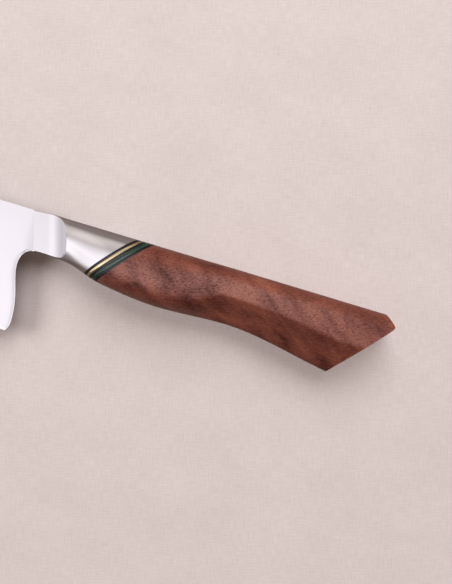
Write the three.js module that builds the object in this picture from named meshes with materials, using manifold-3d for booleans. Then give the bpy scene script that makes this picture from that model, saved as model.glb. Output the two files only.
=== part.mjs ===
// Kitchen knife of the santoku type: a steel blade welded to a steel bolster, a slanted stack of
// five spacers, and a wooden handle glued on a hidden stick tang.
// Millimetres. X runs along the knife with the butt at +X, Y points to the spine and Z is normal to
// the blade. The knife lies on the flat side of its handle, with the middle of its base at the origin.
// The pieces are drawn with X = 0 at the front of the bolster barrel, Y = 0 at the spine of the
// handle and Z = 0 in the middle of the blade.

import * as THREE from 'three';
import { mergeVertices } from 'three/addons/utils/BufferGeometryUtils.js';
import Module from 'manifold-3d';

const wasm = await Module();
wasm.setup();

// Blade
const BLADE_LENGTH = 180;
const BLADE_HEIGHT = 50;
const SPINE_THICKNESS = 2.2;
const TIP_THICKNESS = 1.1;
const SHOULDER_THICKNESS = 0.5;
const EDGE_BEVEL = 1.1;
const TIP_RISE = 8;
const TIP_BLUNT = 2;
const NOSE_LENGTH = 70;
const EDGE_SWEEP = 112;
const HEEL_SETBACK = 13.2;
const HEEL_ROUND = 4.5;
const CHOIL_SETBACK = 17.9;
const CHOIL_DEPTH = 6.8;

// Fullness of the blade's curves: where their handles lie, as shares of each curve
const CHOIL_FULLNESS = 0.62;
const CHOIL_RUN = 0.26;
const HEEL_RUN = 0.47;
const HEEL_FULLNESS = 0.6;
const NOSE_FULLNESS = 0.5;
const NOSE_LEAN = 0.13;
const EDGE_FULLNESS = 0.42;

// Neck and plunge of the bolster: the weld and the plunge slant together
const WELD_SETBACK = 17.7;
const PLUNGE_SETBACK = 11.5;
const PLUNGE_RADIUS = 9.2;
const PLUNGE_SLANT = THREE.MathUtils.degToRad(17.5);
const WELD_HEIGHT = 16.1;
const NECK_HEIGHT = 15.95;
const NECK_DIP = 0.5;
const NECK_LENGTH = 8.5;

// Spacer stack: thickness of each plate, front to back
const STACK_SETBACK = 26.7;
const STACK_SLANT = THREE.MathUtils.degToRad(41);
const FRONT_LINER = 1.1;
const BRASS_SPACER = 1;
const MIDDLE_LINER = 1.1;
const GREEN_SPACER = 1.35;
const REAR_LINER = 1.05;

// Handle: depth below the spine at each station, half of the thickness, and how square the oval is
// above and below its middle, at the plunge and from the stack on
const WOOD_LENGTH = 104;
const BARREL_HEIGHT = 16.9;
const STACK_HEIGHT = 21.4;
const BELLY_HEIGHT = 23.6;
const WAIST_HEIGHT = 22.2;
const BUTT_HEIGHT = 28.4;
const BELLY_SETBACK = 41;
const WAIST_SETBACK = 70;
const NECK_HALF = 5.4;
const BARREL_HALF = 6.5;
const STACK_HALF = 9.2;
const HANDLE_HALF = 10.5;
const PLUNGE_UPPER_POWER = 1.9;
const PLUNGE_LOWER_POWER = 1.7;
const STACK_UPPER_POWER = 2.45;
const STACK_LOWER_POWER = 2.8;

// Facets of the rear half: spine flat, side flat, ridge and lower facet. The ridge starts low and soft
// on the belly, rises to the waist and sinks again towards the butt.
const FACET_START = 44;
const FACET_FULL = 68;
const SPINE_FLAT = 10.4;
const SHOULDER_DROP = 3.8;
const RIDGE_RISE = 53;
const RIDGE_START = 17.8;
const RIDGE_WAIST = 11.5;
const RIDGE_BEND = 12.8;
const RIDGE_BEND_REACH = 44;
const RIDGE_LOW = 15.7;
const RIDGE_LOW_REACH = 21;
const RIDGE_BUTT = 15.4;
const KEEL_WIDTH = 4.4;
const SPINE_ROUND = 2.4;
const RIDGE_SOFT = 6;
const RIDGE_ROUND = 1;
const KEEL_ROUND = 1.6;

// Butt: the upper corner is cut off and eased where the cut meets the butt
const BUTT_CUT_LENGTH = 8.6;
const BUTT_CUT_DROP = 4.5;
const BUTT_EASE = 2;

// Hidden tang, its drilled hole and the adhesive
const TANG_LENGTH = 88;
const TANG_WIDTH = 7.4;
const TANG_TIP_WIDTH = 5.6;
const TANG_THICKNESS = 3;
const TANG_DROP = 10.8;
const TANG_SEAT = 9;
const NOTCH_RADIUS = 0.9;
const NOTCH_COUNT = 4;
const HOLE_DIAMETER = 11;
const HOLE_SPARE = 3;
const GLUE_GAP = 0.3;

// Smoothness of the surfaces
const RING_STEP = 3;
const ROUND_STEPS = 4;
const PLUNGE_STEPS = 14;
const HOLE_SIDES = 28;
const CURVE_STEPS = 7;
const NOSE_COLUMNS = 26;
const HEEL_COLUMNS = 6;
const HEEL_SHARE = 0.12;

// Derived places
const weldSlope = -Math.tan(PLUNGE_SLANT);
const weldSpine = -WELD_SETBACK + weldSlope * NECK_DIP;
const weldFoot = -WELD_SETBACK - weldSlope * WELD_HEIGHT;
const stackSlope = Math.tan(STACK_SLANT);
const alongAxis = (thickness) => thickness / Math.cos(STACK_SLANT);
const stackThickness = FRONT_LINER + BRASS_SPACER + MIDDLE_LINER + GREEN_SPACER + REAR_LINER;
const woodFront = STACK_SETBACK + alongAxis(stackThickness);
const buttPlane = woodFront + WOOD_LENGTH;
const buttCorner = buttPlane - stackSlope * BUTT_HEIGHT;
const stackFoot = STACK_SETBACK - stackSlope * TANG_DROP;
const tangFront = stackFoot - TANG_SEAT;
const tangRear = tangFront + TANG_LENGTH;
const holeRear = tangRear + HOLE_SPARE;

// A smooth curve through [place, value] stations that never swings past them
function smoothThrough(stations) {
  const last = stations.length - 1;
  const rise = (i) => (stations[i + 1][1] - stations[i][1]) / (stations[i + 1][0] - stations[i][0]);
  const slopes = stations.map((station, i) => {
    if (i === 0) return rise(0);
    if (i === last) return rise(last - 1);
    const product = rise(i - 1) * rise(i);
    return product > 0 ? (2 * product) / (rise(i - 1) + rise(i)) : 0;
  });
  return (x) => {
    const [firstX, firstValue] = stations[0];
    const [lastX, lastValue] = stations[last];
    if (x <= firstX) return firstValue + slopes[0] * (x - firstX);
    if (x >= lastX) return lastValue + slopes[last] * (x - lastX);
    const i = stations.findIndex((station, n) => n < last && x <= stations[n + 1][0]);
    const span = stations[i + 1][0] - stations[i][0];
    const t = (x - stations[i][0]) / span;
    const ease = t * t * (3 - 2 * t);
    const lead = span * t * (1 - t) * (1 - t);
    const trail = span * t * t * (t - 1);
    return stations[i][1] * (1 - ease) + stations[i + 1][1] * ease + slopes[i] * lead + slopes[i + 1] * trail;
  };
}

// Form of the bolster and handle along the knife
const spineDip = (x) => NECK_DIP * (1 - THREE.MathUtils.smoothstep(x, -WELD_SETBACK, -NECK_LENGTH));
const depth = smoothThrough([
  [weldFoot, WELD_HEIGHT + NECK_DIP],
  [-NECK_LENGTH, NECK_HEIGHT + NECK_DIP],
  [0, BARREL_HEIGHT],
  [stackFoot, STACK_HEIGHT],
  [BELLY_SETBACK, BELLY_HEIGHT],
  [WAIST_SETBACK, WAIST_HEIGHT],
  [buttCorner, BUTT_HEIGHT],
]);
const halfThickness = smoothThrough([
  [-WELD_SETBACK, NECK_HALF],
  [0, BARREL_HALF],
  [stackFoot, STACK_HALF],
  [FACET_START, HANDLE_HALF],
  [FACET_FULL, HANDLE_HALF],
]);
const ridgeDrop = smoothThrough([
  [0, BARREL_HEIGHT / 2],
  [RIDGE_RISE, RIDGE_START],
  [FACET_FULL, RIDGE_WAIST],
  [buttPlane - RIDGE_BEND_REACH, RIDGE_BEND],
  [buttPlane - RIDGE_LOW_REACH, RIDGE_LOW],
  [buttPlane - stackSlope * RIDGE_BUTT, RIDGE_BUTT],
]);
const facetShare = (x) => THREE.MathUtils.smoothstep(x, FACET_START, FACET_FULL);
const squareShare = (x) => THREE.MathUtils.smoothstep(x, -PLUNGE_SETBACK, STACK_SETBACK);

// Half of the faceted section, from the spine to the keel, as [drop, half width] points
function facetedHalf(x) {
  const half = halfThickness(x);
  const bottom = depth(x);
  const ridgeRound = THREE.MathUtils.lerp(RIDGE_SOFT, RIDGE_ROUND, facetShare(x));
  const corners = [
    { at: [0, 0], round: 0, steps: 0, spread: 2 },
    { at: [0, SPINE_FLAT / 2], round: SPINE_ROUND, steps: ROUND_STEPS, spread: 0 },
    { at: [SHOULDER_DROP, half], round: SPINE_ROUND, steps: ROUND_STEPS, spread: 3 },
    { at: [ridgeDrop(x), half], round: ridgeRound, steps: ROUND_STEPS, spread: 5 },
    { at: [bottom, KEEL_WIDTH / 2], round: KEEL_ROUND, steps: ROUND_STEPS, spread: 0 },
    { at: [bottom, 0], round: 0, steps: 0, spread: 0 },
  ].map((corner) => ({ ...corner, at: new THREE.Vector2(...corner.at) }));
  const points = [];
  let leaving = corners[0].at;
  corners.forEach((corner, i) => {
    let arc = [corner.at];
    if (corner.steps > 0) {
      // A rounding takes at most half of the wall on either side
      const [start, end] = [corners[i - 1], corners[i + 1]].map((other) => {
        const way = other.at.clone().sub(corner.at);
        return corner.at.clone().add(way.setLength(Math.min(corner.round, way.length() / 2)));
      });
      arc = new THREE.QuadraticBezierCurve(start, corner.at, end).getPoints(corner.steps);
    }
    const spread = i > 0 ? corners[i - 1].spread : 0;
    for (let n = 1; n <= spread; n += 1) points.push(leaving.clone().lerp(arc[0], n / (spread + 1)));
    points.push(...arc);
    leaving = arc[arc.length - 1];
  });
  return points;
}

// The real half section: an oval that turns into the faceted section along the handle
function halfSection(x) {
  const middle = depth(x) / 2;
  const half = halfThickness(x);
  const share = facetShare(x);
  const square = squareShare(x);
  const upperPower = THREE.MathUtils.lerp(PLUNGE_UPPER_POWER, STACK_UPPER_POWER, square);
  const lowerPower = THREE.MathUtils.lerp(PLUNGE_LOWER_POWER, STACK_LOWER_POWER, square);
  return facetedHalf(x).map((point) => {
    const ray = new THREE.Vector2(point.x - middle, point.y);
    const facetReach = ray.length();
    ray.normalize();
    const power = ray.x > 0 ? lowerPower : upperPower;
    const sum = (Math.abs(ray.x) / middle) ** power + (Math.abs(ray.y) / half) ** power;
    const reach = THREE.MathUtils.lerp(sum ** (-1 / power), facetReach, share);
    return new THREE.Vector2(middle + ray.x * reach, Math.max(ray.y * reach, 0));
  });
}

// One slanted ring of the outer skin: it crosses the spine at spineX and leans by slope
function skinRing(spineX, slope) {
  const count = halfSection(spineX).length;
  const side = [];
  for (let i = 0; i < count; i += 1) {
    let x = spineX;
    let y = 0;
    let z = 0;
    for (let pass = 0; pass < 16; pass += 1) {
      const point = halfSection(x)[i];
      y = -point.x - spineDip(x) * (1 - point.x / depth(x));
      z = point.y;
      x = spineX + slope * y;
    }
    side.push(new THREE.Vector3(x, y, z));
  }
  const mirrored = side.slice(1, -1).reverse().map((p) => new THREE.Vector3(p.x, p.y, -p.z));
  return [...side, ...mirrored];
}

// Closed solids from rings of equally many points
function volumeOf(geometry) {
  const position = geometry.getAttribute('position');
  const index = geometry.getIndex();
  const [a, b, c] = [new THREE.Vector3(), new THREE.Vector3(), new THREE.Vector3()];
  let volume = 0;
  for (let i = 0; i < index.count; i += 3) {
    a.fromBufferAttribute(position, index.getX(i));
    b.fromBufferAttribute(position, index.getX(i + 1));
    c.fromBufferAttribute(position, index.getX(i + 2));
    volume += a.dot(b.cross(c)) / 6;
  }
  return volume;
}

function closedGeometry(points, triangles) {
  const geometry = new THREE.BufferGeometry().setFromPoints(points);
  geometry.setIndex(triangles.flat());
  if (volumeOf(geometry) < 0) geometry.setIndex(triangles.map(([a, b, c]) => [a, c, b]).flat());
  return geometry;
}

function loft(rings) {
  const size = rings[0].length;
  const triangles = [];
  for (let r = 0; r + 1 < rings.length; r += 1) {
    for (let i = 0; i < size; i += 1) {
      const next = (i + 1) % size;
      const [a, b] = [r * size + i, r * size + next];
      triangles.push([a, b, a + size], [b, b + size, a + size]);
    }
  }
  const start = (rings.length - 1) * size;
  const flat = (ring) => ring.map((p) => new THREE.Vector2(p.y, p.z));
  THREE.ShapeUtils.triangulateShape(flat(rings[0]), []).forEach(([a, b, c]) => triangles.push([a, c, b]));
  THREE.ShapeUtils.triangulateShape(flat(rings[rings.length - 1]), []).forEach(([a, b, c]) => {
    triangles.push([start + a, start + b, start + c]);
  });
  return closedGeometry(rings.flat(), triangles);
}

// Joining and cutting of closed geometry
function solid(geometry) {
  const bare = geometry.clone();
  bare.deleteAttribute('normal');
  bare.deleteAttribute('uv');
  const merged = mergeVertices(bare, 1e-4);
  return new wasm.Manifold(new wasm.Mesh({
    numProp: 3,
    vertProperties: new Float32Array(merged.getAttribute('position').array),
    triVerts: new Uint32Array(merged.getIndex().array),
  }));
}

function cut(geometry, ...tools) {
  const result = tools.reduce((left, tool) => left.subtract(solid(tool)), solid(geometry)).getMesh();
  const remaining = new THREE.BufferGeometry();
  remaining.setAttribute('position', new THREE.BufferAttribute(new Float32Array(result.vertProperties), 3));
  remaining.setIndex(new THREE.BufferAttribute(new Uint32Array(result.triVerts), 1));
  return remaining;
}

// Outline of the blade: heel curve, spine and edge, each from the heel end
function bladeOutline() {
  const top = -NECK_DIP;
  const bottom = top - BLADE_HEIGHT;
  const weld = skinRing(weldSpine, weldSlope);
  const weldTop = weld[0];
  const foot = weld.reduce((low, p) => (p.y < low.y ? p : low));
  const choil = new THREE.Vector2(-CHOIL_SETBACK, foot.y - CHOIL_DEPTH);
  const heelBack = new THREE.Vector2(-HEEL_SETBACK, bottom + HEEL_ROUND);
  const heelTip = new THREE.Vector2(heelBack.x - HEEL_ROUND / 3, bottom);
  const bevelEnd = new THREE.Vector2(heelBack.x - HEEL_ROUND / 6, bottom + EDGE_BEVEL);
  const between = THREE.MathUtils.lerp;

  const heel = new THREE.Path().moveTo(weldTop.x, weldTop.y).lineTo(foot.x, foot.y);
  heel.bezierCurveTo(
    between(foot.x, choil.x, CHOIL_FULLNESS), foot.y,
    choil.x, between(choil.y, foot.y, CHOIL_FULLNESS),
    choil.x, choil.y,
  );
  heel.bezierCurveTo(
    choil.x, between(choil.y, heelBack.y, CHOIL_RUN),
    heelBack.x, between(heelBack.y, choil.y, HEEL_RUN),
    heelBack.x, heelBack.y,
  );
  heel.quadraticCurveTo(heelBack.x, between(heelBack.y, bevelEnd.y, HEEL_FULLNESS), bevelEnd.x, bevelEnd.y);
  heel.lineTo(heelTip.x, heelTip.y);

  const tip = new THREE.Vector2(heelTip.x - BLADE_LENGTH, bottom + TIP_RISE);
  const noseTop = tip.y + TIP_BLUNT;
  const spine = new THREE.Path().moveTo(weldTop.x, top).lineTo(tip.x + NOSE_LENGTH, top);
  spine.bezierCurveTo(
    between(tip.x + NOSE_LENGTH, tip.x, NOSE_FULLNESS), top,
    between(tip.x, tip.x + NOSE_LENGTH, NOSE_LEAN), between(noseTop, top, NOSE_FULLNESS),
    tip.x, noseTop,
  );
  const edge = new THREE.Path().moveTo(heelTip.x, bottom).lineTo(tip.x + EDGE_SWEEP, bottom);
  edge.quadraticCurveTo(between(tip.x, tip.x + EDGE_SWEEP, EDGE_FULLNESS), bottom, tip.x, tip.y);
  return { heel, spine, edge };
}

// Blade: a sheet that is ground flat from the spine to the bevel and then sharpened
function bladeGeometry() {
  const { heel, spine, edge } = bladeOutline();
  const heelPoints = heel.getPoints(CURVE_STEPS);
  const rows = heelPoints.length - 1;
  const bevelRow = rows - 1;
  const heelDrop = (row) => heelPoints[0].y - heelPoints[row].y;
  const columns = HEEL_COLUMNS + NOSE_COLUMNS;
  const stopAt = (column) => {
    if (column < HEEL_COLUMNS) return (HEEL_SHARE * column) / HEEL_COLUMNS;
    return HEEL_SHARE + ((1 - HEEL_SHARE) * (column - HEEL_COLUMNS)) / NOSE_COLUMNS;
  };
  // A point of the straight grid between spine and edge, before the heel curve bends it
  const straight = (column, row) => {
    const up = spine.getPoint(stopAt(column));
    const down = edge.getPoint(stopAt(column));
    const height = up.distanceTo(down);
    const bevel = Math.min(EDGE_BEVEL, height / 2) / height;
    if (row === rows) return down;
    return up.lerp(down, (1 - bevel) * (heelDrop(row) / heelDrop(bevelRow)));
  };

  const points = [];
  const front = [];
  const back = [];
  for (let column = 0; column <= columns; column += 1) {
    const fade = 1 - THREE.MathUtils.smoothstep(column, 0, HEEL_COLUMNS);
    const spineHalf = THREE.MathUtils.lerp(SPINE_THICKNESS, TIP_THICKNESS, stopAt(column)) / 2;
    front.push([]);
    back.push([]);
    for (let row = 0; row <= rows; row += 1) {
      const bend = heelPoints[row].clone().sub(straight(0, row)).multiplyScalar(fade);
      const { x, y } = straight(column, row).add(bend);
      const ground = heelDrop(row) / heelDrop(bevelRow);
      const half = row === rows ? 0 : THREE.MathUtils.lerp(spineHalf, SHOULDER_THICKNESS / 2, ground);
      front[column].push(points.push(new THREE.Vector3(x, y, half)) - 1);
      // The cutting edge is one line that both sides share
      back[column].push(row === rows ? front[column][row] : points.push(new THREE.Vector3(x, y, -half)) - 1);
    }
  }

  const triangles = [];
  const quad = (a, b, c, d) => triangles.push([a, b, c], [a, c, d]);
  for (let c = 0; c < columns; c += 1) {
    for (let row = 0; row < rows; row += 1) {
      quad(front[c][row], front[c][row + 1], front[c + 1][row + 1], front[c + 1][row]);
      quad(back[c][row], back[c + 1][row], back[c + 1][row + 1], back[c][row + 1]);
    }
    quad(front[c][0], front[c + 1][0], back[c + 1][0], back[c][0]);
  }
  for (let row = 0; row < bevelRow; row += 1) {
    quad(front[0][row], back[0][row], back[0][row + 1], front[0][row + 1]);
    quad(front[columns][row], front[columns][row + 1], back[columns][row + 1], back[columns][row]);
  }
  triangles.push([front[0][bevelRow], back[0][bevelRow], front[0][rows]]);
  triangles.push([front[columns][bevelRow], front[columns][rows], back[columns][bevelRow]]);
  return closedGeometry(points, triangles);
}

// Plunge cutter: flat over the neck, then a quarter round up the front of the barrel
function plungeCutter() {
  const clear = 3 * HANDLE_HALF;
  const neck = SPINE_THICKNESS / 2;
  const profile = new THREE.Shape().moveTo(-clear, neck).lineTo(0, neck);
  profile.absarc(0, neck + PLUNGE_RADIUS, PLUNGE_RADIUS, -Math.PI / 2, 0, false);
  profile.lineTo(PLUNGE_RADIUS, clear).lineTo(-clear, clear);
  const length = 4 * BARREL_HEIGHT;
  const cutter = new THREE.ExtrudeGeometry(profile, {
    depth: length, bevelEnabled: false, curveSegments: PLUNGE_STEPS,
  });
  cutter.translate(0, 0, -length / 2);
  const across = new THREE.Vector3(Math.cos(PLUNGE_SLANT), Math.sin(PLUNGE_SLANT), 0);
  const down = new THREE.Vector3(Math.sin(PLUNGE_SLANT), -Math.cos(PLUNGE_SLANT), 0);
  const place = new THREE.Matrix4().makeBasis(across, new THREE.Vector3(0, 0, 1), down);
  place.setPosition(-PLUNGE_SETBACK, 0, 0);
  return { cutter, place };
}

// Slot that lets the tang through, between two places along the knife
function tangSlot(from, to) {
  const width = TANG_WIDTH + 2 * GLUE_GAP;
  const slot = new THREE.BoxGeometry(to - from, width, TANG_THICKNESS + 2 * GLUE_GAP);
  return slot.translate((from + to) / 2, -TANG_DROP, 0);
}

function bolsterGeometry() {
  const count = Math.ceil((STACK_SETBACK + WELD_SETBACK) / RING_STEP);
  const rings = [];
  for (let n = 0; n <= count; n += 1) {
    const share = n / count;
    rings.push(skinRing(
      THREE.MathUtils.lerp(weldSpine, STACK_SETBACK, share),
      THREE.MathUtils.lerp(weldSlope, stackSlope, share),
    ));
  }
  const { cutter, place } = plungeCutter();
  const upper = cutter.clone().applyMatrix4(place);
  const lower = cutter.clone().rotateX(Math.PI).applyMatrix4(place);
  return cut(loft(rings), upper, lower, tangSlot(tangFront - GLUE_GAP, STACK_SETBACK));
}

// Tang: a tapered stick with round glue notches along both edges
function tangGeometry() {
  const shape = new THREE.Shape().moveTo(tangFront, -TANG_WIDTH / 2);
  const notchStart = woodFront;
  const pitch = (tangRear - notchStart) / (NOTCH_COUNT + 1);
  const halfAt = (x) => {
    const taper = THREE.MathUtils.clamp((x - notchStart) / (tangRear - notchStart), 0, 1);
    return THREE.MathUtils.lerp(TANG_WIDTH, TANG_TIP_WIDTH, taper) / 2;
  };
  shape.lineTo(notchStart, -TANG_WIDTH / 2);
  for (let n = 1; n <= NOTCH_COUNT; n += 1) {
    const x = notchStart + n * pitch;
    shape.lineTo(x - NOTCH_RADIUS, -halfAt(x));
    shape.absarc(x, -halfAt(x), NOTCH_RADIUS, Math.PI, 0, true);
  }
  shape.lineTo(tangRear, -halfAt(tangRear)).lineTo(tangRear, halfAt(tangRear));
  for (let n = NOTCH_COUNT; n >= 1; n -= 1) {
    const x = notchStart + n * pitch;
    shape.lineTo(x + NOTCH_RADIUS, halfAt(x));
    shape.absarc(x, halfAt(x), NOTCH_RADIUS, 0, Math.PI, true);
  }
  shape.lineTo(notchStart, TANG_WIDTH / 2).lineTo(tangFront, TANG_WIDTH / 2);
  const stick = new THREE.ExtrudeGeometry(shape, {
    depth: TANG_THICKNESS, bevelEnabled: false, curveSegments: ROUND_STEPS,
  });
  return stick.translate(0, -TANG_DROP, -TANG_THICKNESS / 2);
}

// Spacer plate: a slice of the handle form between two slanted planes
function spacerGeometry(front, thickness) {
  const rear = front + alongAxis(thickness);
  const plate = loft([skinRing(front, stackSlope), skinRing(rear, stackSlope)]);
  return cut(plate, tangSlot(front - 2 * STACK_HEIGHT, rear + 2 * STACK_HEIGHT));
}

// Round plug along the tang, with a slanted front that crosses the tang's line at frontX
function roundPlug(diameter, frontX, rearX) {
  const circle = (placeX, slope) => {
    const ring = [];
    for (let n = 0; n < HOLE_SIDES; n += 1) {
      const turn = (2 * Math.PI * n) / HOLE_SIDES;
      const rise = (diameter / 2) * Math.cos(turn);
      const aside = (diameter / 2) * Math.sin(turn);
      ring.push(new THREE.Vector3(placeX + slope * rise, rise - TANG_DROP, aside));
    }
    return ring;
  };
  return loft([circle(frontX, stackSlope), circle(rearX, 0)]);
}

// Cutter for the upper corner of the butt, rounded into the butt's own plane
function buttCutter() {
  const top = new THREE.Vector2(buttPlane - BUTT_CUT_LENGTH, 0);
  const corner = new THREE.Vector2(buttPlane - stackSlope * BUTT_CUT_DROP, -BUTT_CUT_DROP);
  const slope = top.clone().sub(corner);
  const easeStart = corner.clone().add(slope.clone().setLength(BUTT_EASE));
  const easeEnd = corner.clone().add(new THREE.Vector2(-stackSlope, -1).setLength(BUTT_EASE));
  const high = top.clone().add(slope);
  const behind = buttPlane + BUTT_CUT_LENGTH;
  const outline = new THREE.Shape().moveTo(high.x, high.y).lineTo(easeStart.x, easeStart.y);
  outline.quadraticCurveTo(corner.x, corner.y, easeEnd.x, easeEnd.y);
  outline.lineTo(behind, easeEnd.y).lineTo(behind, high.y);
  const cutter = new THREE.ExtrudeGeometry(outline, {
    depth: 4 * HANDLE_HALF, bevelEnabled: false, curveSegments: ROUND_STEPS,
  });
  return cutter.translate(0, 0, -2 * HANDLE_HALF);
}

function handleGeometry() {
  const count = Math.ceil(WOOD_LENGTH / RING_STEP);
  const rings = [];
  for (let n = 0; n <= count; n += 1) rings.push(skinRing(woodFront + (WOOD_LENGTH * n) / count, stackSlope));
  const hole = roundPlug(HOLE_DIAMETER, stackFoot, holeRear);
  return cut(loft(rings), hole, buttCutter());
}

function epoxyGeometry() {
  const frontX = woodFront - stackSlope * TANG_DROP + GLUE_GAP;
  const plug = roundPlug(HOLE_DIAMETER - 2 * GLUE_GAP, frontX, holeRear - GLUE_GAP);
  return cut(plug, tangSlot(stackFoot, tangRear + GLUE_GAP));
}

// The knife
function piece(name, geometry, color, roughness, metalness) {
  const mesh = new THREE.Mesh(geometry, new THREE.MeshStandardMaterial({ color, roughness, metalness }));
  mesh.name = name;
  return mesh;
}

const knife = new THREE.Group();
knife.add(piece('blade', bladeGeometry(), '#dcdce2', 0.28, 1));
knife.add(piece('bolster', bolsterGeometry(), '#d3d1d0', 0.24, 1));
knife.add(piece('tang', tangGeometry(), '#a7a7a8', 0.45, 1));
const stack = [
  ['front_liner', FRONT_LINER, '#151518', 0.5, 0],
  ['brass_spacer', BRASS_SPACER, '#d9ab52', 0.3, 1],
  ['middle_liner', MIDDLE_LINER, '#151518', 0.5, 0],
  ['green_spacer', GREEN_SPACER, '#1f4a37', 0.4, 0],
  ['rear_liner', REAR_LINER, '#151518', 0.5, 0],
];
stack.reduce((front, [name, thickness, color, roughness, metalness]) => {
  knife.add(piece(name, spacerGeometry(front, thickness), color, roughness, metalness));
  return front + alongAxis(thickness);
}, STACK_SETBACK);
knife.add(piece('handle', handleGeometry(), '#7d3f2e', 0.5, 0));
knife.add(piece('tang_epoxy', epoxyGeometry(), '#c9b98c', 0.4, 0));

const box = new THREE.Box3().setFromObject(knife);
const middle = box.getCenter(new THREE.Vector3());
knife.position.set(-middle.x, -middle.y, -box.min.z);

export default knife;
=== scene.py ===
"""Looks of a santoku knife with a slanted spacer stack and a faceted wooden handle."""
import math

import bmesh
import bpy
from mathutils import Matrix, Vector


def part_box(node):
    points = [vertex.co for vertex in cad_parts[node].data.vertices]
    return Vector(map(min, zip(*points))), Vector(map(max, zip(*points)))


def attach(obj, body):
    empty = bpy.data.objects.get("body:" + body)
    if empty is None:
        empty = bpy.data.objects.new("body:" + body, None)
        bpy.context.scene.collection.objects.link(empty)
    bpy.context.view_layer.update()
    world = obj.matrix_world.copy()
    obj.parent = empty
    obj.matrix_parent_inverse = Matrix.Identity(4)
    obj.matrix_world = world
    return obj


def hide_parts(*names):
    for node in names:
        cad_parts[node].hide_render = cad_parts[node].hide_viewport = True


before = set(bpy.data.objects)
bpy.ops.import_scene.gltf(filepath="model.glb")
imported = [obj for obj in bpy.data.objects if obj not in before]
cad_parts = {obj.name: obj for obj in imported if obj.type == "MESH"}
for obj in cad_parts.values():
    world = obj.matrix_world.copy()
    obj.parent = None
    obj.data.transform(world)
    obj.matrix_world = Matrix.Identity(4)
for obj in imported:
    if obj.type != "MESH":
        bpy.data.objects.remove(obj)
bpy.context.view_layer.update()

# Sizes in millimetres, in the knife's own frame: X along the handle with 0 at the front of the bolster
# barrel, Y = 0 at the spine of the handle, Z = 0 in the middle of the blade.
MM = 0.001

# Neck and plunge of the bolster
SPINE_THICKNESS = 2.2
WELD_SETBACK = 17.7
PLUNGE_SETBACK = 11.5
PLUNGE_RADIUS = 9.2
PLUNGE_SLANT = math.radians(17.5)
WELD_HEIGHT = 16.1
NECK_HEIGHT = 15.95
NECK_DIP = 0.5
NECK_LENGTH = 8.5

# Spacer stack, with the thickness of each plate
STACK_SETBACK = 26.7
STACK_SLANT = math.radians(41)
STACK = {
    "front_liner": 1.1,
    "brass_spacer": 1,
    "middle_liner": 1.1,
    "green_spacer": 1.35,
    "rear_liner": 1.05,
}

# Handle: depth below the spine at each station, half of the thickness, and how square the oval is
WOOD_LENGTH = 104
BARREL_HEIGHT = 16.9
STACK_HEIGHT = 21.4
BELLY_HEIGHT = 23.6
WAIST_HEIGHT = 22.2
BUTT_HEIGHT = 28.4
BELLY_SETBACK = 41
WAIST_SETBACK = 70
NECK_HALF = 5.4
BARREL_HALF = 6.5
STACK_HALF = 9.2
HANDLE_HALF = 10.5
PLUNGE_UPPER_POWER = 1.9
PLUNGE_LOWER_POWER = 1.7
STACK_UPPER_POWER = 2.45
STACK_LOWER_POWER = 2.8

# Facets of the rear half
FACET_START = 44
FACET_FULL = 68
SPINE_FLAT = 10.4
SHOULDER_DROP = 3.8
RIDGE_RISE = 53
RIDGE_START = 17.8
RIDGE_WAIST = 11.5
RIDGE_BEND = 12.8
RIDGE_BEND_REACH = 44
RIDGE_LOW = 15.7
RIDGE_LOW_REACH = 21
RIDGE_BUTT = 15.4
KEEL_WIDTH = 4.4
SPINE_ROUND = 2.4
RIDGE_SOFT = 6
RIDGE_ROUND = 1
KEEL_ROUND = 1.6

# Butt: the upper corner is cut off and eased where the cut meets the butt
BUTT_CUT_LENGTH = 8.6
BUTT_CUT_DROP = 4.5
BUTT_EASE = 1.4

# Hidden seats of the tang
TANG_WIDTH = 7.4
TANG_THICKNESS = 3
TANG_DROP = 10.8
TANG_SEAT = 9
HOLE_DIAMETER = 11
HOLE_LENGTH = 91
GLUE_GAP = 0.3

# Eased edges
STACK_EDGE = 0.05
BUTT_EDGE = 0.45
WELD_EDGE = 0.06

# Rim ground along the heel and choil: two lines are cut into the blade's sides, the first at a width inside
# the outline and the second a step further. A line goes no further than a share of the face that it cuts.
# Outline and first line sink by the depth, but by no more than a share of the blade's half thickness.
RIM_WIDTH = 0.5
RIM_STEP = 0.28
RIM_REACH = 0.45
RIM_DEPTH = 0.3
RIM_SHARE = 0.4
HEEL_REACH = 14

# Places that follow from the sizes
weld_slope = -math.tan(PLUNGE_SLANT)
weld_spine = -WELD_SETBACK + weld_slope * NECK_DIP
weld_foot = -WELD_SETBACK - weld_slope * WELD_HEIGHT
stack_slope = math.tan(STACK_SLANT)
wood_front = STACK_SETBACK + sum(STACK.values()) / math.cos(STACK_SLANT)
butt_plane = wood_front + WOOD_LENGTH
butt_corner = butt_plane - stack_slope * BUTT_HEIGHT
stack_foot = STACK_SETBACK - stack_slope * TANG_DROP

# The knife's frame in the row frame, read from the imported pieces
liner_rear = STACK_SETBACK + STACK["front_liner"] / math.cos(STACK_SLANT)
handle_low, handle_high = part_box("handle")
KNIFE_ZERO = Vector((
    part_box("front_liner")[1].x - liner_rear * MM,
    handle_high.y,
    (handle_low.z + handle_high.z) / 2,
))
TO_ROW = Matrix.Translation(KNIFE_ZERO) @ Matrix.Scale(MM, 4)


# Form of the bolster and handle
def lerp(a, b, share):
    return a + (b - a) * share


def smoothstep(x, low, high):
    share = min(max((x - low) / (high - low), 0), 1)
    return share * share * (3 - 2 * share)


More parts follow.
